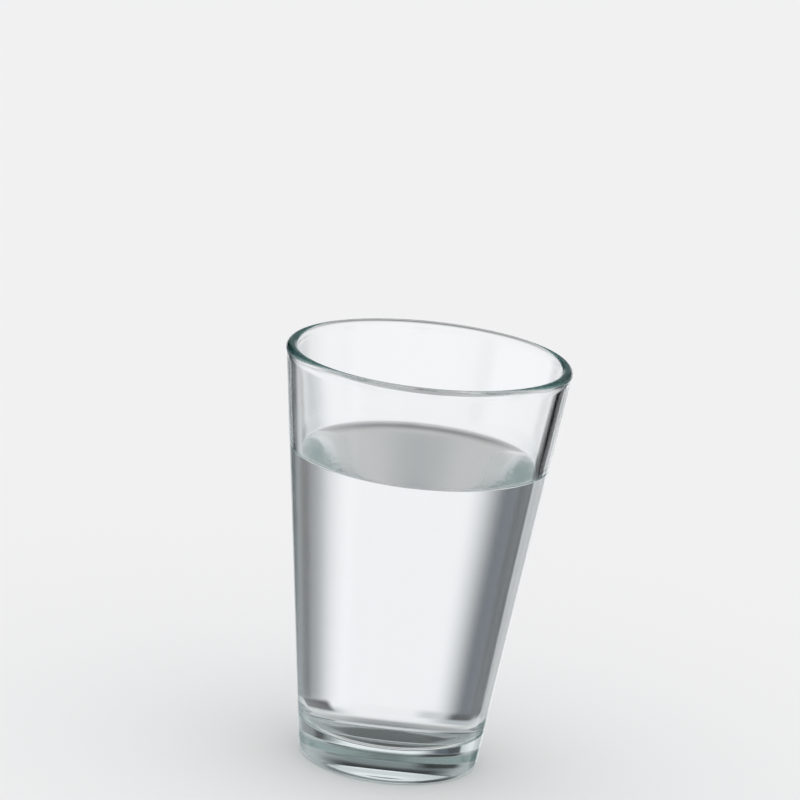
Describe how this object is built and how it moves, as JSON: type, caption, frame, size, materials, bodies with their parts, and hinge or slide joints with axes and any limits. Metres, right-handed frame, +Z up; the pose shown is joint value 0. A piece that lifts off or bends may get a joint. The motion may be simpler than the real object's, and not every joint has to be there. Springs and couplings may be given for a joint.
{
  "type": "conical tumbler",
  "caption": "Conical drinking tumbler of clear pressed glass with a heavy base, a straight flared wall and a rounded fire-polished rim, holding still water.",
  "frame": {"origin": "centre of the flat ring that the tumbler stands on, at table level", "axes": "+Z up along the axis of the cone, towards the rim; +X and +Y are level and alike"},
  "size_m": [0.084, 0.084, 0.124],
  "materials": {
    "clear_glass": "fire-polished",
    "water": "still surface"
  },
  "bodies": {
    "root": {"tumbler": "clear_glass", "water": "water"}
  },
  "joints": []
}
